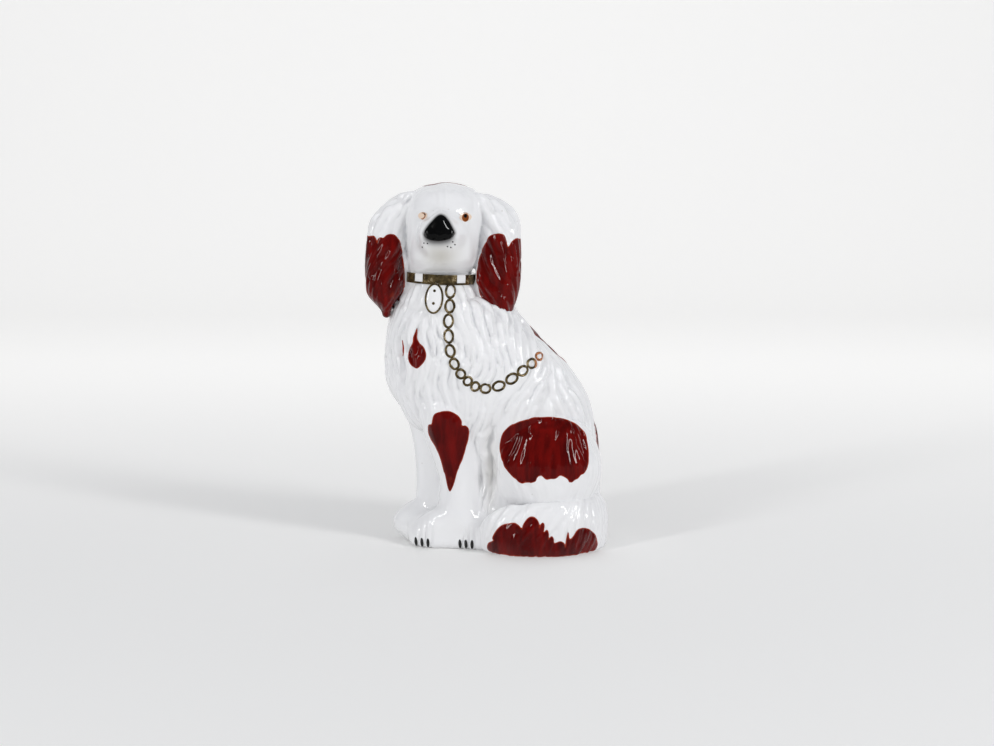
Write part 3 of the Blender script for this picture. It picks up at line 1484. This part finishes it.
RED_PATCHES = [
    Patch("painted_left_ear", (LEFT_EAR_LINE,), ("left_ear_enamel",), (Casting.LEFT_EAR,), Slot.RED,
          stop=60.0, ragged=0.3),
    Patch("painted_right_ear", (RIGHT_EAR_LINE,), ("right_ear_enamel",), (Casting.RIGHT_EAR,), Slot.RED,
          stop=60.0, ragged=0.3),
    Patch("painted_chest", (CHEST_DROP_LINE, CHEST_FLECK_LINE), ("chest_enamel",), (Casting.BODY_FRONT,),
          Slot.RED, cuts=1),
    Patch("painted_foreleg", (FORELEG_LINE,), ("foreleg_enamel",), (Casting.LEFT_LEG, Casting.BODY_FRONT),
          Slot.RED, stop=0.0, ragged=0.2),
    Patch("painted_haunch", (HAUNCH_LINE,), ("haunch_enamel",), (Casting.BODY_FRONT,), Slot.RED, ragged=0.25),
    Patch("painted_tail", (TAIL_LINE,), ("tail_enamel",), (Casting.TAIL,), Slot.RED, stop=0.0, ragged=0.25),
    Patch("painted_back", (SHOULDER_STROKE_LINE, RUMP_STROKE_LINE), ("back_enamel",),
          (Casting.BODY_FRONT, Casting.BODY_BACK), Slot.RED, stop=1.7, far=True, ragged=0.3),
    Patch("painted_crown", (CROWN_LINE,), ("crown_enamel",), (Casting.HEAD_FRONT, Casting.HEAD_BACK),
          Slot.RED, stop=172.0, plan=True, ragged=0.6),
]


def oval(x: float, z: float, half_x: float, half_z: float, lean: float = 0.0) -> Outline:
    """Closed oval line on the display side."""
    c, s = math.cos(math.radians(lean)), math.sin(math.radians(lean))
    turn = [2 * math.pi * k / 12 for k in range(12)]
    return [(x + c * half_x * math.cos(t) - s * half_z * math.sin(t),
             z + s * half_x * math.cos(t) + c * half_z * math.sin(t)) for t in turn]


FACE = (Casting.HEAD_FRONT,)
PAWS = (Casting.LEFT_LEG, Casting.LEFT_HIND)
IRIS_HOOK: Outline = [
    (-33.25, 174.8), (-32.24, 175.2), (-31.1, 174.92), (-30.72, 173.93), (-31.1, 172.82),
    (-32.1, 171.85), (-33.0, 171.95), (-33.1, 172.5), (-32.45, 172.5), (-31.75, 173.2), (-31.5, 173.9),
    (-31.9, 174.5), (-32.5, 174.65)]
RIGHT_LID: Outline = [
    (-34.6, 174.5), (-33.6, 175.0), (-32.4, 175.35), (-31.2, 175.2), (-30.0, 174.6), (-31.2, 174.9),
    (-32.4, 175.0), (-33.6, 174.75)]
LEFT_LID: Outline = [
    (-14.3, 174.4), (-13.2, 175.0), (-11.8, 175.3), (-10.2, 175.1), (-8.5, 174.1), (-10.2, 174.75),
    (-11.8, 174.95), (-13.2, 174.7)]
WHISKERS: Outline = [
    (-31.3, 160.7), (-29.5, 160.6), (-32.3, 158.5), (-19.6, 159.1), (-18.0, 158.5), (-17.0, 161.3),
    (-16.0, 159.8)]
CLAWS: Outline = [
    (-37.5, 4), (-34.3, 2), (-31.1, 0), (-14.3, 3), (-11.2, 2), (-8.0, 0)]
FINE = {"stop": -8.0, "cuts": 3}
FACE_PATCHES = [
    Patch("painted_nose", (NOSE,), ("nose_enamel",), FACE, Slot.BLACK, stop=-14.0, cuts=1, lift=0.18),
    Patch("painted_eye_wash", (oval(-32.4, 173.7, 2.4, 1.8), oval(-10.9, 173.0, 3.0, 2.0)),
          (), FACE, Slot.IRIS, lift=0.1, wash=0.0, **FINE),
    Patch("painted_irises", (IRIS_HOOK, oval(-11.0, 172.8, 1.85, 2.15)),
          ("eye_irises",), FACE, Slot.IRIS, lift=0.15, wash=2.0, **FINE),
    Patch("painted_pupils", (oval(-31.3, 174.3, 0.3, 0.45), oval(-11.0, 173.6, 0.8, 0.95)),
          ("eye_pupils",), FACE, Slot.BLACK, lift=0.22, **FINE),
    Patch("painted_lids", (RIGHT_LID, LEFT_LID), (), FACE, Slot.IRIS, lift=0.26, wash=4.0, **FINE),
    Patch("painted_whiskers", tuple(oval(x, z, 0.34, 0.34) for x, z in WHISKERS),
          (), FACE, Slot.BLACK, **FINE),
    Patch("painted_claws", tuple(oval(x, 3.2, 0.8, 2.6, lean) for x, lean in CLAWS),
          ("claw_enamel",), PAWS, Slot.BLACK, stop=-6.0, cuts=3),
]


# ---------------------------------------------------------------- gilding


def gilt_lines(name: str, loops: list[Array], half: float) -> bpy.types.Object:
    """Closed round lines drawn through points.

    Args:
        name: name of the piece.
        loops: points of each line in metres.
        half: half thickness of the line in metres.

    Returns:
        Mesh piece of every line.
    """
    curve = bpy.data.curves.new(name, "CURVE")
    curve.dimensions = "3D"
    curve.bevel_depth, curve.bevel_resolution = half, 3
    for loop in loops:
        spline = curve.splines.new("NURBS")
        spline.points.add(len(loop) - 1)
        for point, spot in zip(spline.points, loop):
            point.co = (*spot, 1.0)
        spline.use_cyclic_u, spline.order_u, spline.resolution_u = True, 4, 3
    line = bpy.data.objects.new(name + "_line", curve)
    bpy.context.scene.collection.objects.link(line)
    mesh = evaluated_mesh(line)
    bpy.data.objects.remove(line)
    bpy.data.curves.remove(curve)
    bm = bmesh.new()
    bm.from_mesh(mesh)
    bpy.data.meshes.remove(mesh)
    bmesh.ops.remove_doubles(bm, verts=bm.verts, dist=WELD)
    bmesh.ops.recalc_face_normals(bm, faces=bm.faces)
    return place(name, mesh_of(bm, name))


@dataclass
class Chain:
    """Gilt chain drawn over the chest and shoulder.

    Attributes:
        centres: middle of each link, across and up.
        half_width: half width of a link.
        last: half width of the last link.
        overlap: length that neighbouring links share.
        line: half thickness of the gilt line.
        sink: depth of the line's middle below the glaze.
    """

    centres: Outline = field(default_factory=lambda: [
        (-18.8, 135.3), (-19.1, 127.8), (-19.8, 120.2), (-19.7, 112.5), (-18.9, 105.1), (-16.8, 98.6),
        (-13.5, 93.5), (-9.9, 89.8), (-6.1, 87.0), (-0.9, 85.9), (5.9, 87.2), (12.6, 90.8),
        (18.2, 94.6), (22.9, 97.9), (26.8, 101.2)])
    half_width: float = 2.3
    last: float = 1.8
    overlap: float = 0.25
    line: float = 0.72
    sink: float = 0.22

    def build(self, tree: BVHTree, material: bpy.types.Material) -> None:
        """Lay the links on the glaze.

        Args:
            tree: search tree of the figure in millimetres.
            material: gilding.
        """
        spots = np.array(self.centres)
        runs = np.diff(spots, axis=0)
        ahead = np.vstack([runs[:1], (runs[1:] + runs[:-1]) / 2, runs[-1:]])
        gaps = np.linalg.norm(ahead, axis=1)
        loops = []
        widths = [self.half_width] * (len(spots) - 1) + [self.last]
        for spot, way, gap, width in zip(spots, ahead / gaps[:, None], gaps, widths):
            half_length = (gap / 2 + self.overlap - self.line) * width / self.half_width
            loop = []
            for turn in np.linspace(0, 2 * math.pi, 16, endpoint=False):
                along, across = half_length * math.cos(turn), width * math.sin(turn)
                x, z = spot + along * way + across * np.array([-way[1], way[0]])
                hit, facing = front_hit(tree, x, z)
                loop.append((hit - facing * self.sink) * MM)
            loops.append(loop)
        piece = gilt_lines("gilt_chain", loops, self.line * MM)
        settle(piece, Slot.GILT, material, "chain_gilding")


@dataclass
class Padlock:
    """Oval sprig under the collar with a gilt outline and two gilt dots.

    Attributes:
        x: place across.
        z: place up.
        half_x: half width.
        half_z: half height.
        lean: turn of its top to the left ear, in degrees.
        proud: height of its crown above the chest.
        line: half thickness of the gilt outline.
        dots: heights of the dots from its middle.
        dot: half width and height of a dot.
        feet: where the seat is felt for, as shares of the half width and half height.
        rim: shares of its size and of its crown's height at which the outline lies.
    """

    x: float = -27.0
    z: float = 131.6
    half_x: float = 4.7
    half_z: float = 8.0
    lean: float = 5.0
    proud: float = 1.5
    line: float = 0.55
    dots: tuple[float, float] = (3.9, -2.5)
    dot: tuple[float, float] = (0.75, 0.25)
    feet: tuple[float, float] = (0.8, 0.7)
    rim: tuple[float, float] = (0.93, 0.42)

    def build(self, tree: BVHTree, white: bpy.types.Material, gilt: bpy.types.Material) -> None:
        """Seat the sprig on the chest and draw its gilding.

        Args:
            tree: search tree of the figure in millimetres.
            white: white glaze.
            gilt: gilding.
        """
        wide, tall = self.feet[0] * self.half_x, self.feet[1] * self.half_z
        spots = [front_hit(tree, self.x + dx * wide, self.z + dz * tall)[0]
                 for dx, dz in ((-1, 0), (1, 0), (0, -1), (0, 1))]
        up = (spots[3] - spots[2]).normalized()
        out = (spots[1] - spots[0]).cross(up).normalized()
        across = up.cross(out)
        seat = Matrix((across, -out, up)).transposed().to_4x4()
        seat.translation = sum(spots, Vector()) / 4
        seat @= Matrix.Rotation(math.radians(self.lean), 4, "Y")
        metres = Matrix.Scale(MM, 4)
        bm = bmesh.new()
        size = Matrix.Diagonal((self.half_x, self.proud, self.half_z, 1.0))
        bmesh.ops.create_uvsphere(bm, u_segments=48, v_segments=24, radius=1.0, matrix=metres @ seat @ size)
        settle(place("glazed_padlock", mesh_of(bm, "glazed_padlock")), Slot.WHITE, white, "padlock")
        turns = np.linspace(0, 2 * math.pi, 28, endpoint=False)
        share, height = self.rim
        rim = [metres @ (seat @ Vector((share * self.half_x * math.cos(t), -height * self.proud,
                                        share * self.half_z * math.sin(t)))) for t in turns]
        piece = gilt_lines("gilt_padlock", [rim], self.line * MM)
        bm = bmesh.new()
        bm.from_mesh(piece.data)
        for z in self.dots:
            crown = self.proud * math.sqrt(1.0 - (z / self.half_z) ** 2)
            half, height = self.dot
            spot = seat @ (Matrix.Translation((0.0, -crown, z)) @ Matrix.Diagonal((half, height, half, 1.0)))
            bmesh.ops.create_uvsphere(bm, u_segments=20, v_segments=10, radius=1.0, matrix=metres @ spot)
        bm.to_mesh(piece.data)
        bm.free()
        piece.data.shade_smooth()
        settle(piece, Slot.GILT, gilt, "padlock_gilding")


@dataclass
class Collar:
    """Clay strap round the neck with a gilt sleeve that leaves two white windows.

    Attributes:
        rise: height of its lower edge above the clay strap's.
        tilt: turn of the collar in degrees, up on the right side of the neck.
        windows: middle of each window from the neck axis.
        window_half: half width of a window.
        line: height of the gilt line below a window.
        block: left and right end of the raised middle block, from the neck axis.
        block_lift: height of the middle block.
        sleeve: thickness of the gilt sleeve.
        segments: faces round the sleeve.
        rows: faces up the sleeve.
        strap: thickness of the clay strap.
        inset: cut of the strap's outer edges.
        soft: rounding of the sleeve's edges.
        beat: share, turns across and turns up of the hammered waves on the block.
    """

    rise: float = 2.2
    tilt: float = 2.4
    windows: tuple[float, float] = (-10.6, 11.4)
    window_half: float = 2.1
    line: float = 1.0
    block: tuple[float, float] = (-8.0, 9.0)
    block_lift: float = 0.18
    sleeve: float = 0.5
    segments: int = 256
    rows: int = 20
    strap: float = 2.2
    inset: float = 0.5
    soft: float = 0.12
    beat: tuple[float, float, float] = (0.4, 5.0, 3.2)

    def build(self, white: bpy.types.Material, gilt: bpy.types.Material) -> None:
        """Make the strap and its sleeve.

        Args:
            white: white glaze.
            gilt: gilding.
        """
        low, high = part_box("collar_band")
        low.z += self.rise * MM
        lean = Matrix.Rotation(math.radians(self.tilt), 3, "Y")
        centre, half, height = (low + high) / 2, (high.x - low.x) / 2, high.z - low.z
        bm = bmesh.new()
        inset, strap = self.inset * MM, self.strap * MM
        corners = [(half - strap, low.z), (half - inset, low.z), (half, low.z + inset),
                   (half, high.z - inset), (half - inset, high.z), (half - strap, high.z)]
        ring = [bm.verts.new((centre.x, centre.y - r, z)) for r, z in corners]
        profile = ring + [bm.edges.new((a, b)) for a, b in zip(ring, ring[1:] + ring[:1])]
        bmesh.ops.spin(bm, geom=profile, cent=centre, axis=(0, 0, 1), angle=2 * math.pi, steps=96,
                       use_merge=True)
        bmesh.ops.remove_doubles(bm, verts=bm.verts, dist=WELD)
        bmesh.ops.recalc_face_normals(bm, faces=bm.faces)
        bmesh.ops.rotate(bm, cent=centre, matrix=lean, verts=bm.verts)
        settle(place("glazed_collar", mesh_of(bm, "glazed_collar")), Slot.WHITE, white, "collar_band")

        bm = bmesh.new()
        outer = (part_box("collar_gilding")[1].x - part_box("collar_gilding")[0].x) / 2 - self.block_lift * MM
        wall = Matrix.Translation(centre)
        bmesh.ops.create_cone(bm, segments=self.segments, radius1=outer, radius2=outer, depth=height,
                              matrix=wall)
        upright = [e for e in bm.edges if abs(e.verts[0].co.z - e.verts[1].co.z) > height / 2]
        bmesh.ops.subdivide_edges(bm, edges=upright, cuts=self.rows - 1)
        open_faces = []
        for face in bm.faces:
            spot = (face.calc_center_median() - centre) / MM
            above = spot.z > self.line - height / MM / 2
            if spot.y < 0 and above and any(abs(spot.x - w) < self.window_half for w in self.windows):
                open_faces.append(face)
        bmesh.ops.delete(bm, geom=open_faces, context="FACES")
        beat, across, up = self.beat
        for vert in bm.verts:
            spot = (vert.co - centre) / MM
            if spot.y < 0 and self.block[0] < spot.x < self.block[1]:
                wave = math.sin(spot.x * across) * math.cos(spot.z * up)
                lift = self.block_lift * (1.0 - beat + beat * wave)
                vert.co += Vector((spot.x, spot.y, 0.0)).normalized() * lift * MM
        bmesh.ops.recalc_face_normals(bm, faces=bm.faces)
        bmesh.ops.rotate(bm, cent=centre, matrix=lean, verts=bm.verts)
        piece = place("gilt_collar", mesh_of(bm, "gilt_collar"))
        shell = piece.modifiers.new("sleeve", "SOLIDIFY")
        shell.thickness, shell.offset = self.sleeve * MM, -1.0
        edge = piece.modifiers.new("edge", "BEVEL")
        edge.width, edge.segments = self.soft * MM, 2
        edge.limit_method, edge.angle_limit = "ANGLE", math.radians(50)
        solid = evaluated_mesh(piece)
        piece.modifiers.clear()
        piece.data = solid
        solid.shade_smooth()
        settle(piece, Slot.GILT, gilt, "collar_gilding")


# ---------------------------------------------------------------- studio


@dataclass(frozen=True)
class Lamp:
    """Soft box that faces the figure.

    Attributes:
        name: name of the lamp.
        spot: place in metres.
        size: width and height in metres.
        power: power in watts.
        mirrored: whether the glaze mirrors it.
    """

    name: str
    spot: tuple[float, float, float]
    size: tuple[float, float]
    power: float
    mirrored: bool = True

    def build(self, target: Vector) -> None:
        """Set up the lamp.

        Args:
            target: place that it faces, in metres.
        """
        data = bpy.data.lights.new(self.name, "AREA")
        data.shape, data.energy = "RECTANGLE", self.power
        data.size, data.size_y = self.size
        lamp = bpy.data.objects.new(self.name, data)
        lamp.location = self.spot
        lamp.rotation_euler = (target - Vector(self.spot)).to_track_quat("-Z", "Y").to_euler()
        bpy.context.scene.collection.objects.link(lamp)
        lamp.visible_glossy = self.mirrored


LAMPS = (
    Lamp("key", (1.0, -0.7, 0.65), (0.13, 1.1), 7.0),
    Lamp("side", (-0.95, -0.75, 0.6), (0.1, 0.9), 4.0),
    Lamp("top", (0.0, 0.3, 1.5), (1.0, 0.8), 2.5, mirrored=False),
    Lamp("fill", (-0.5, -1.3, 0.12), (1.4, 0.5), 4.2, mirrored=False),
)


@dataclass
class Studio:
    """Pale sweep, soft lamps and the camera.

    Attributes:
        target: place that the camera looks at, in metres.
        distance: camera distance.
        elevation: camera height in degrees.
        lens: focal length on a 36 mm frame.
        sweep: colour of the floor and backdrop.
        front: colour of the floor before the figure in mirrors, where the camera's side is dark.
        glow: light that is seen on the backdrop but not given by it.
        near: strength of the surroundings as a light.
        seen: strength of the surroundings to the camera.
        mirrored: strength of the surroundings in mirrors.
        half_floor: half width of the floor.
        edge: place of the floor's front edge.
        run: depth of the level floor.
        step: length of one step of the bend.
        wall: height of the backdrop above the bend.
        warm: colour of the glow.
        cool: colour of the surroundings.
    """

    target: tuple[float, float, float] = (0.005, 0.006, 0.08995)
    distance: float = 0.8
    elevation: float = 8.0
    lens: float = 54.73
    sweep: Colour = (0.86, 0.858, 0.848, 1.0)
    front: Colour = (0.16, 0.16, 0.16, 1.0)
    glow: float = 0.40
    near: float = 0.44
    seen: float = 0.8
    mirrored: float = 0.06
    half_floor: float = 3.0
    edge: float = -1.6
    run: float = 2.8
    step: float = 0.096
    wall: float = 2.2
    warm: Colour = (1.0, 0.985, 0.955, 1.0)
    cool: Colour = (0.93, 0.95, 1.0, 1.0)

    def camera(self) -> None:
        """Camera at the photograph's angle."""
        data = bpy.data.cameras.new("camera")
        data.lens, data.sensor_width = self.lens, 36.0
        camera = bpy.data.objects.new("camera", data)
        rise = math.radians(self.elevation)
        away = Vector((0.0, -math.cos(rise), math.sin(rise)))
        camera.location = Vector(self.target) + self.distance * away
        camera.rotation_euler = (-away).to_track_quat("-Z", "Y").to_euler()
        bpy.context.scene.collection.objects.link(camera)
        bpy.context.scene.camera = camera

    @staticmethod
    def looked_at(w: Tree) -> tuple[Socket, Socket]:
        """1 where the camera sees the surface, and 1 where a mirror or a glass does."""
        path = w.add("ShaderNodeLightPath").outputs
        return path["Is Camera Ray"], w.math("MAXIMUM", path["Is Glossy Ray"], path["Is Transmission Ray"])

    def floor(self) -> None:
        """Floor that turns up into the backdrop."""
        bm = bmesh.new()
        edge = [bm.verts.new((x, self.edge, 0.0)) for x in (-self.half_floor, self.half_floor)]
        line = [bm.edges.new(edge)]
        bend = [(self.step * math.cos(a), self.step * math.sin(a)) for a in np.radians(np.arange(5, 90, 8))]
        for dy, dz in [(self.run, 0.0), *bend, (0.0, self.wall)]:
            grown = bmesh.ops.extrude_edge_only(bm, edges=line)["geom"]
            verts = [g for g in grown if isinstance(g, bmesh.types.BMVert)]
            bmesh.ops.translate(bm, verts=verts, vec=(0.0, dy, dz))
            line = [g for g in grown if isinstance(g, bmesh.types.BMEdge)]
        bmesh.ops.recalc_face_normals(bm, faces=bm.faces)
        sweep = place("sweep", mesh_of(bm, "sweep"))
        material = bpy.data.materials.new("sweep")
        material.use_nodes = True
        w = Tree(material.node_tree)
        deep = w.add("ShaderNodeSeparateXYZ", {0: w.place()}).outputs["Y"]
        camera, mirror = self.looked_at(w)
        behind = w.span(deep, -0.2, 0.8, 0.05, self.glow)
        glow = w.math("MULTIPLY", w.math("MAXIMUM", camera, mirror), behind)
        colour = w.blend(w.math("MULTIPLY", mirror, w.span(deep, -0.02, -0.05)), self.sweep, self.front)
        shader = w.add("ShaderNodeBsdfPrincipled", {
            "Base Color": colour, "Roughness": 0.6, "Specular IOR Level": 0.0,
            "Emission Color": self.warm, "Emission Strength": glow})
        out = w.add("ShaderNodeOutputMaterial")
        w.join(shader.outputs[0], out.inputs[0])
        sweep.data.materials.append(material)

    def light(self) -> None:
        """Lamps and the pale surroundings."""
        for lamp in LAMPS:
            lamp.build(Vector(self.target))
        world = bpy.data.worlds.new("surroundings")
        bpy.context.scene.world = world
        world.use_nodes = True
        w = Tree(world.node_tree)
        camera, mirror = self.looked_at(w)
        unseen = w.span(mirror, 0.0, 1.0, self.near, self.mirrored)
        strength = w.add("ShaderNodeMix", {0: camera, 2: unseen, 3: self.seen}, data_type="FLOAT").outputs[0]
        pale = w.add("ShaderNodeBackground", {"Color": self.cool, "Strength": strength})
        out = w.add("ShaderNodeOutputWorld")
        w.join(pale.outputs[0], out.inputs[0])
        bpy.context.scene.view_settings.view_transform = "Standard"

    def build(self) -> None:
        """Set up everything around the figure."""
        self.camera()
        self.floor()
        self.light()


def main() -> None:
    """Build the figure's parts in order and report each piece."""
    Studio().build()
    effects = Effects()
    white, red, black = (finish.material(effects) for finish in (WHITE_GLAZE, RED_ENAMEL, BLACK_ENAMEL))
    iris, gilt, clay = (finish.material(effects) for finish in (IRIS_ENAMEL, GILT, BARE_CLAY))
    sculpture = Sculpture()
    GlazedCastings().build(sculpture, white)
    painting = Painting()
    inks = {Slot.RED: red, Slot.BLACK: black, Slot.IRIS: iris}
    for patch in RED_PATCHES + FACE_PATCHES:
        settle(painting.lay(sculpture, patch), patch.slot, inks[patch.slot], *patch.nodes)
    tree = sculpture.skin.tree()
    Chain().build(tree, gilt)
    Padlock().build(tree, white, gilt)
    Collar().build(white, gilt)
    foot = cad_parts[Casting.BASE.value]
    foot.data.materials.clear()
    foot.data.materials.append(clay)
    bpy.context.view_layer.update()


if __name__ == "__main__":
    logging.basicConfig(level=logging.INFO, format="%(message)s")
    main()
